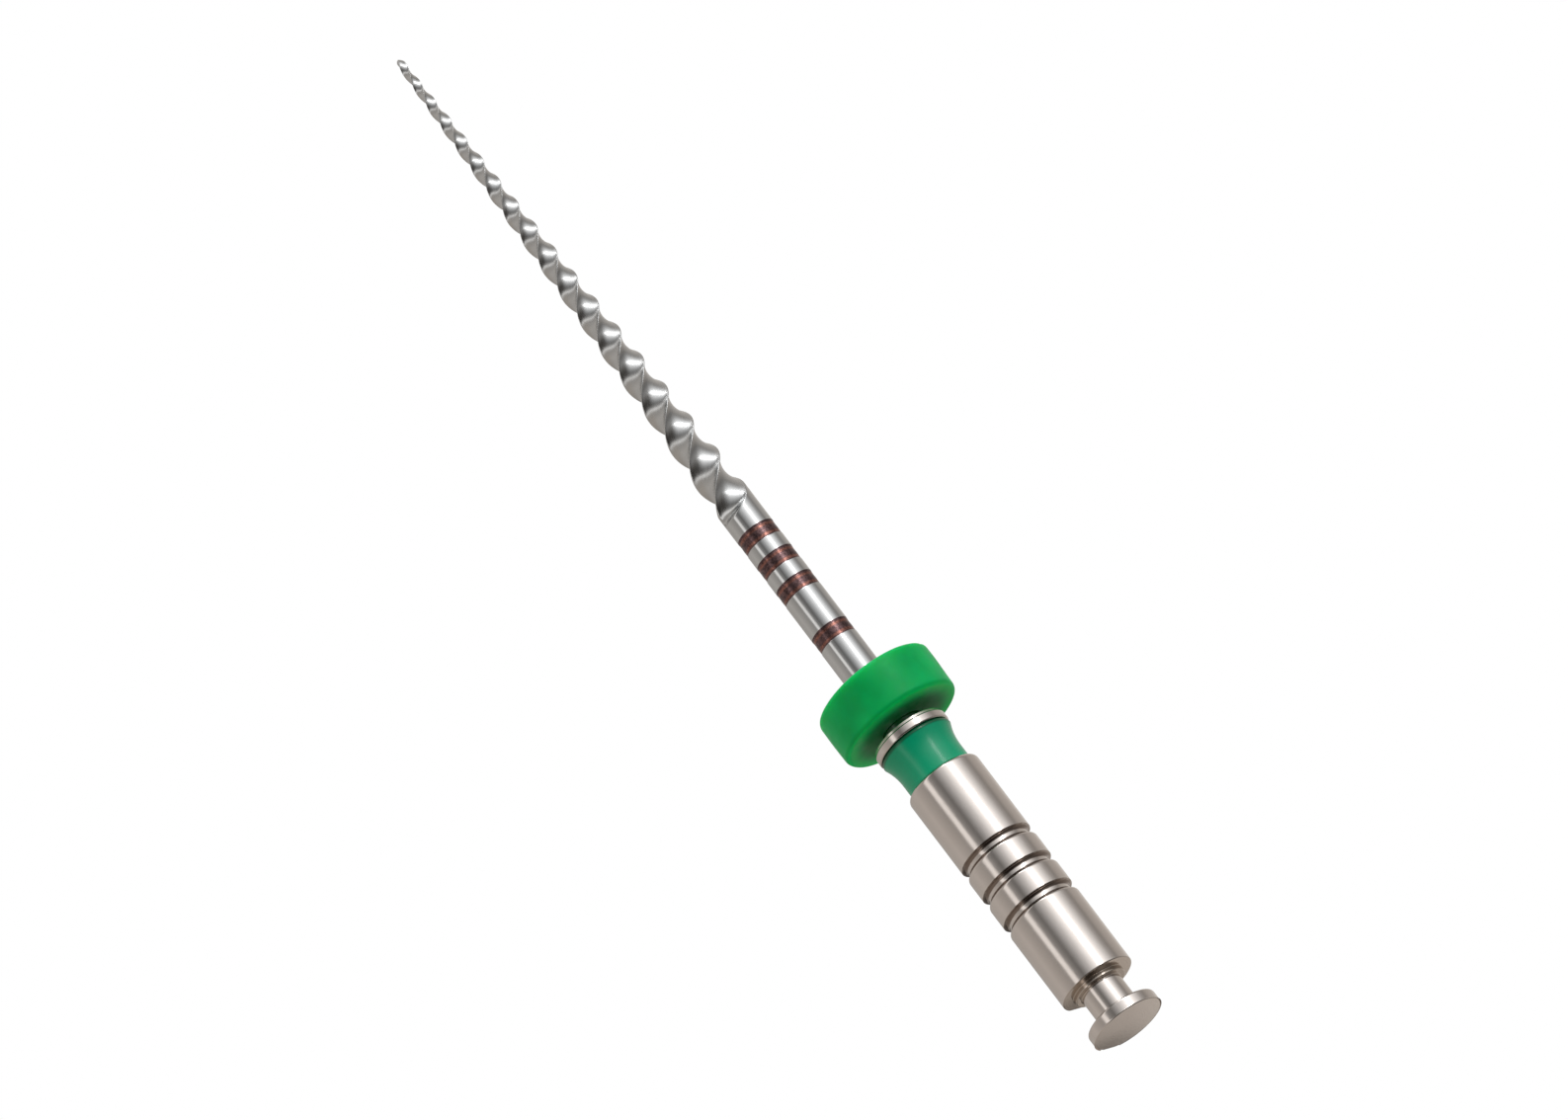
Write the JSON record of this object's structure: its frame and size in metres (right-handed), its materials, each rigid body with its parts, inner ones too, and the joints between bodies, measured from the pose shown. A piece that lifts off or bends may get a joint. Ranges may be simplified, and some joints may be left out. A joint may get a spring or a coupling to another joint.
{
  "type": "endodontic file",
  "caption": "Rotary root canal file: tapered fluted wire with depth marks, sliding silicone stopper, green colour ring and grooved latch-type handle with a drive flat.",
  "frame": {"origin": "centre of the flat end face of the latch button", "axes": "+X along the file's axis and out of the end face, so the tip points to -X; -Z out of the drive flat of the handle"},
  "size_m": [0.0363, 0.0038, 0.0038],
  "materials": {
    "nickel_titanium": "ground nickel-titanium, satin along the flutes and smooth on the plain shaft, with engraved depth marks darkened to a copper brown",
    "plated_shank": "turned and nickel plated, fine satin, slightly warm",
    "ring_plastic": "glossy moulded green plastic",
    "stopper_silicone": "smooth moulded green silicone, soft sheen"
  },
  "bodies": {
    "file": {"file_wire": "nickel_titanium", "latch_shank": "plated_shank", "colour_ring": "ring_plastic"},
    "stopper": {"stopper": "stopper_silicone"}
  },
  "joints": [
    {"name": "stopper_slide", "type": "slide", "parent": "file", "child": "stopper", "axis": [-1, 0, 0], "range_m": [-0.0003, 0.022]}
  ]
}
